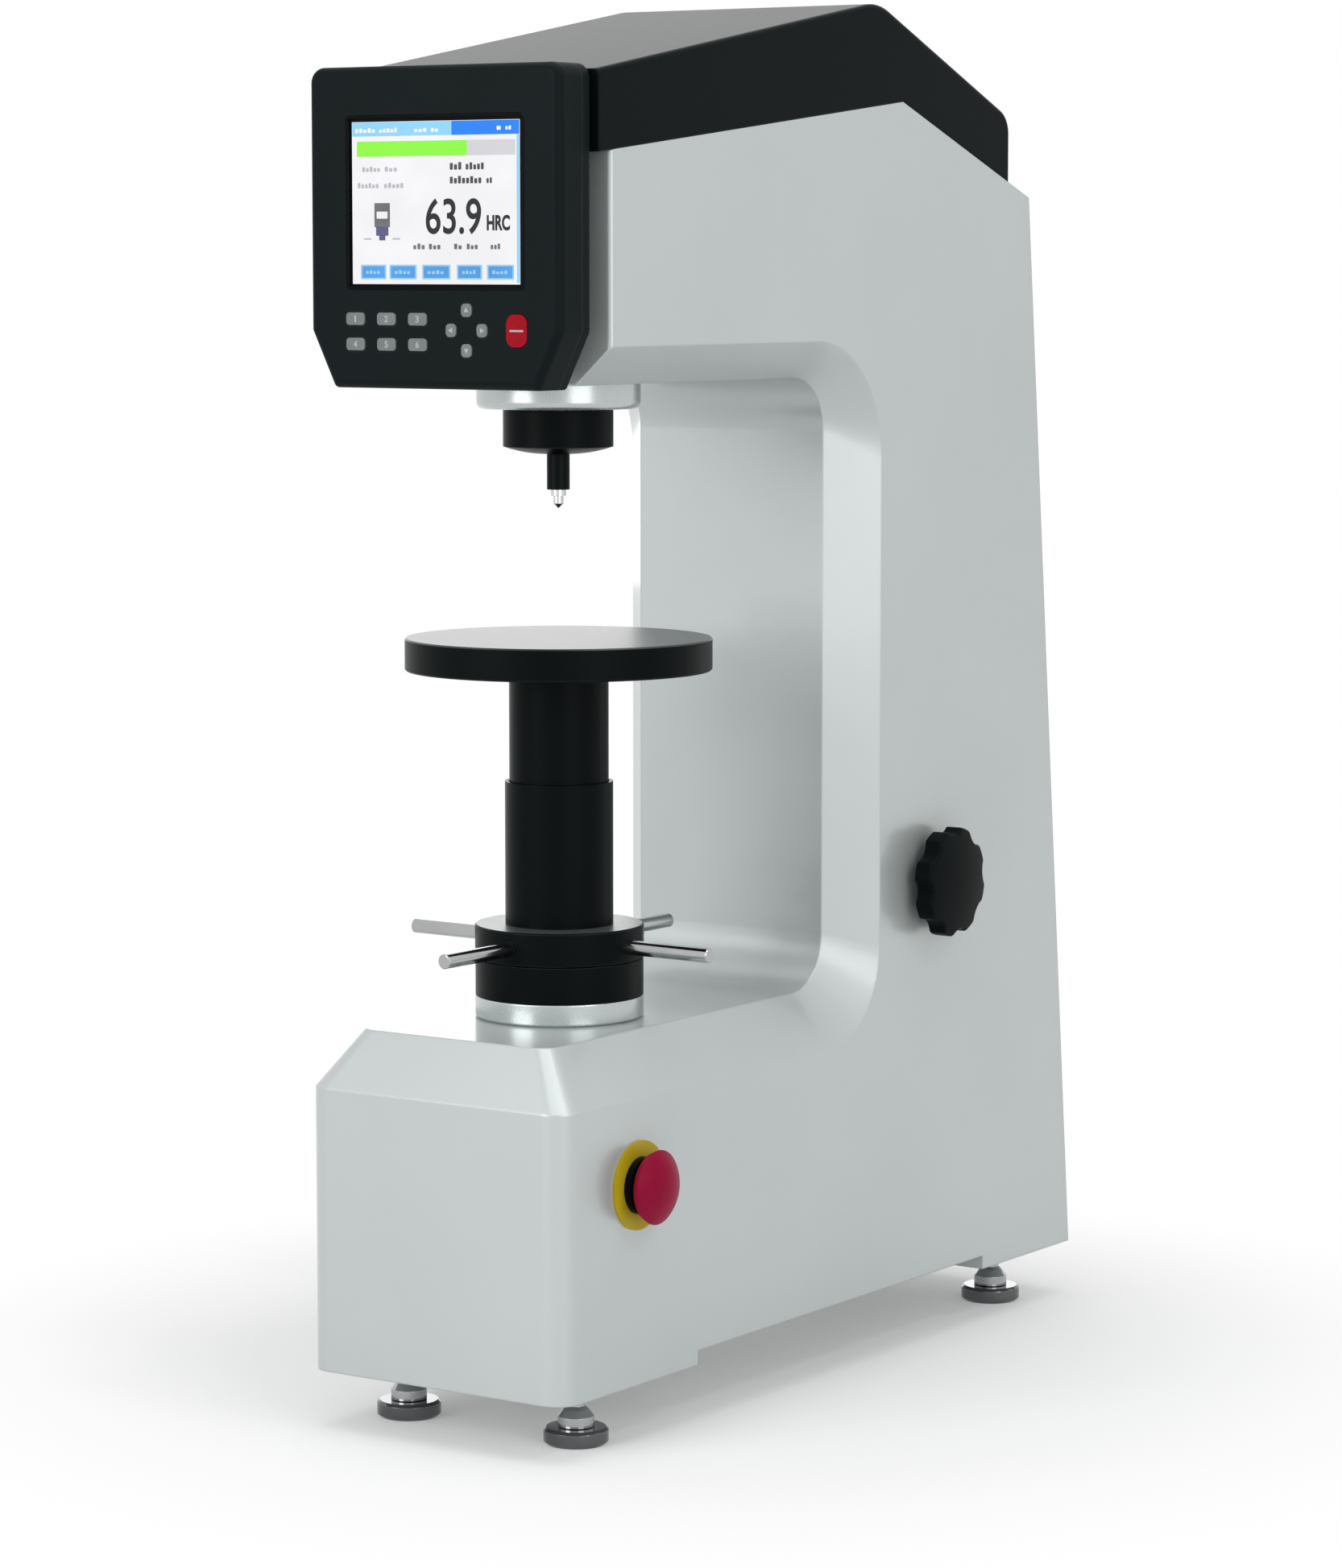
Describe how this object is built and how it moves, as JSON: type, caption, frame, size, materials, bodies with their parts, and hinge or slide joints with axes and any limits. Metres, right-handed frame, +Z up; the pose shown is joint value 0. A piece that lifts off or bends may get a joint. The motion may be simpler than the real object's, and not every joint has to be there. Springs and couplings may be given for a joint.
{
  "type": "hardness tester",
  "caption": "Bench indentation hardness tester: C-shaped housing, screw-raised table, spindle with indenter, console with screen and keys, stop button, knob and levelling feet.",
  "frame": {"origin": "on the bench, under the centre of the bounding box at rest", "axes": "+X to the right as seen by the user in front, towards the stop button; -Y towards the user; +Z up"},
  "size_m": [0.207, 0.5308, 0.7681],
  "materials": {
    "body_silver": "satin silver lacquer",
    "console_black": "satin black",
    "hood_black": "semi-gloss black",
    "ring_silver": "satin silver lacquer",
    "ring_black": "satin black",
    "handle_chrome": "polished",
    "sleeve_black": "satin black",
    "table_steel": "ground top, blackened rim",
    "spindle_black": "blackened",
    "indenter_steel": "ground",
    "inner_steel": "machined",
    "screw_steel": "plated",
    "nut_brass": "machined",
    "inner_iron": "as cast",
    "drive_grey": "cast",
    "inner_black": "moulded",
    "inlet_black": "moulded",
    "display_glass": "lit screen",
    "key_grey": "moulded",
    "key_red": "moulded",
    "board_green": "printed board",
    "stop_yellow": "moulded",
    "stop_black": "moulded",
    "stop_red": "moulded",
    "knob_black": "moulded",
    "foot_chrome": "plated",
    "rocker_black": "moulded"
  },
  "bodies": {
    "frame": {"housing": "body_silver", "bottom_plate": "body_silver", "rear_cover": "body_silver", "cover_screws": "screw_steel", "hood": "hood_black", "column_collar": "ring_silver", "bearing_ring": "ring_black", "thrust_bearing": "inner_steel", "screw_guide": "inner_iron", "head_boss": "ring_silver", "nose_ring": "ring_black", "spindle_bush": "nut_brass", "fulcrum_bracket": "inner_iron", "depth_sensor": "inner_black", "console_bezel": "console_black", "console_back": "console_black", "display_module": "display_glass", "key_board": "board_green", "stop_ring": "stop_yellow", "stop_collar": "stop_black", "stop_block": "inner_black", "drive_motor": "drive_grey", "power_supply": "drive_grey", "power_inlet": "inlet_black", "foot_studs": "foot_chrome", "foot_jam_nuts": "inner_steel"},
    "handwheel": {"handwheel_hub": "ring_black", "handle_rods": "handle_chrome", "lower_sleeve": "sleeve_black", "lift_nut": "nut_brass"},
    "table": {"lifting_screw": "inner_steel", "test_table": "table_steel", "upper_sleeve": "sleeve_black"},
    "plunger": {"spindle": "spindle_black", "indenter": "indenter_steel", "preload_spring": "inner_steel"},
    "lever": {"main_lever": "inner_iron"},
    "hanger": {"weight_hanger": "inner_steel", "load_weights": "inner_iron"},
    "cam": {"drive_cam": "inner_steel"},
    "selector": {"star_knob": "knob_black", "selector_shaft": "inner_steel"},
    "stop_button": {"stop_plunger": "inner_steel"},
    "stop_head": {"stop_cap": "stop_red"},
    "rocker": {"power_rocker": "rocker_black"},
    "function_key_1_body": {"function_key_1": "key_grey"},
    "function_key_2_body": {"function_key_2": "key_grey"},
    "function_key_3_body": {"function_key_3": "key_grey"},
    "function_key_4_body": {"function_key_4": "key_grey"},
    "function_key_5_body": {"function_key_5": "key_grey"},
    "function_key_6_body": {"function_key_6": "key_grey"},
    "arrow_key_up_body": {"arrow_key_up": "key_grey"},
    "arrow_key_down_body": {"arrow_key_down": "key_grey"},
    "arrow_key_left_body": {"arrow_key_left": "key_grey"},
    "arrow_key_right_body": {"arrow_key_right": "key_grey"},
    "red_key_body": {"red_key": "key_red"},
    "foot_pad_front_left_body": {"foot_pad_front_left": "foot_chrome"},
    "foot_pad_front_right_body": {"foot_pad_front_right": "foot_chrome"},
    "foot_pad_rear_left_body": {"foot_pad_rear_left": "foot_chrome"},
    "foot_pad_rear_right_body": {"foot_pad_rear_right": "foot_chrome"}
  },
  "joints": [
    {"name": "handwheel_turn", "type": "hinge", "parent": "frame", "child": "handwheel", "pos_m": [-0.00267, -0.14935, 0.2575], "axis": [0, 0, 1], "range_deg": [-4139, 3479]},
    {"name": "table_lift", "type": "slide", "parent": "frame", "child": "table", "axis": [0, 0, 1], "range_m": [-0.058, 0.069]},
    {"name": "spindle_slide", "type": "slide", "parent": "frame", "child": "plunger", "axis": [0, 0, 1], "range_m": [0, 0.004], "stiffness_N_per_m": 2000, "deforming": ["preload_spring"]},
    {"name": "lever_swing", "type": "hinge", "parent": "frame", "child": "lever", "pos_m": [-0.00267, -0.18735, 0.662], "axis": [1, 0, 0], "range_deg": [-2, 0]},
    {"name": "weights_drop", "type": "slide", "parent": "frame", "child": "hanger", "axis": [0, 0, 1], "range_m": [-0.011, 0]},
    {"name": "cam_turn", "type": "hinge", "parent": "frame", "child": "cam", "pos_m": [-0.00267, 0.06583, 0.6322], "axis": [1, 0, 0], "range_deg": [0, 180]},
    {"name": "selector_turn", "type": "hinge", "parent": "frame", "child": "selector", "pos_m": [0.08233, 0.10063, 0.271], "axis": [1, 0, 0], "range_deg": [-90, 90]},
    {"name": "stop_press", "type": "slide", "parent": "frame", "child": "stop_button", "axis": [-1, 0, 0], "range_m": [0, 0.004]},
    {"name": "stop_twist", "type": "hinge", "parent": "stop_button", "child": "stop_head", "pos_m": [0.09173, -0.19705, 0.1398], "axis": [1, 0, 0], "range_deg": [0, 45], "stiffness_Nm_per_rad": 0.05},
    {"name": "rocker_tip", "type": "hinge", "parent": "frame", "child": "rocker", "pos_m": [-0.04067, 0.25538, 0.10309], "axis": [1, 0, 0], "range_deg": [-22.8, 0]},
    {"name": "function_key_1_press", "type": "slide", "parent": "frame", "child": "function_key_1_body", "axis": [0, 1, 0], "range_m": [0, 0.0008], "stiffness_N_per_m": 500},
    {"name": "function_key_2_press", "type": "slide", "parent": "frame", "child": "function_key_2_body", "axis": [0, 1, 0], "range_m": [0, 0.0008], "stiffness_N_per_m": 500},
    {"name": "function_key_3_press", "type": "slide", "parent": "frame", "child": "function_key_3_body", "axis": [0, 1, 0], "range_m": [0, 0.0008], "stiffness_N_per_m": 500},
    {"name": "function_key_4_press", "type": "slide", "parent": "frame", "child": "function_key_4_body", "axis": [0, 1, 0], "range_m": [0, 0.0008], "stiffness_N_per_m": 500},
    {"name": "function_key_5_press", "type": "slide", "parent": "frame", "child": "function_key_5_body", "axis": [0, 1, 0], "range_m": [0, 0.0008], "stiffness_N_per_m": 500},
    {"name": "function_key_6_press", "type": "slide", "parent": "frame", "child": "function_key_6_body", "axis": [0, 1, 0], "range_m": [0, 0.0008], "stiffness_N_per_m": 500},
    {"name": "arrow_key_up_press", "type": "slide", "parent": "frame", "child": "arrow_key_up_body", "axis": [0, 1, 0], "range_m": [0, 0.0008], "stiffness_N_per_m": 500},
    {"name": "arrow_key_down_press", "type": "slide", "parent": "frame", "child": "arrow_key_down_body", "axis": [0, 1, 0], "range_m": [0, 0.0008], "stiffness_N_per_m": 500},
    {"name": "arrow_key_left_press", "type": "slide", "parent": "frame", "child": "arrow_key_left_body", "axis": [0, 1, 0], "range_m": [0, 0.0008], "stiffness_N_per_m": 500},
    {"name": "arrow_key_right_press", "type": "slide", "parent": "frame", "child": "arrow_key_right_body", "axis": [0, 1, 0], "range_m": [0, 0.0008], "stiffness_N_per_m": 500},
    {"name": "red_key_press", "type": "slide", "parent": "frame", "child": "red_key_body", "axis": [0, 1, 0], "range_m": [0, 0.0008], "stiffness_N_per_m": 500},
    {"name": "foot_pad_front_left_swivel", "type": "hinge", "parent": "frame", "child": "foot_pad_front_left_body", "pos_m": [-0.05847, -0.21345, 0.009], "axis": [0, 0, 1], "continuous": true},
    {"name": "foot_pad_front_right_swivel", "type": "hinge", "parent": "frame", "child": "foot_pad_front_right_body", "pos_m": [0.05313, -0.21345, 0.009], "axis": [0, 0, 1], "continuous": true},
    {"name": "foot_pad_rear_left_swivel", "type": "hinge", "parent": "frame", "child": "foot_pad_rear_left_body", "pos_m": [-0.05847, 0.22145, 0.009], "axis": [0, 0, 1], "continuous": true},
    {"name": "foot_pad_rear_right_swivel", "type": "hinge", "parent": "frame", "child": "foot_pad_rear_right_body", "pos_m": [0.05313, 0.22145, 0.009], "axis": [0, 0, 1], "continuous": true}
  ],
  "couplings": [
    {"joint": "table_lift", "follows": "handwheel_turn", "m_per_rad": -0.00095493},
    {"joint": "weights_drop", "follows": "lever_swing", "m_per_rad": 0.31318},
    {"joint": "cam_turn", "follows": "lever_swing", "ratio": -90}
  ]
}
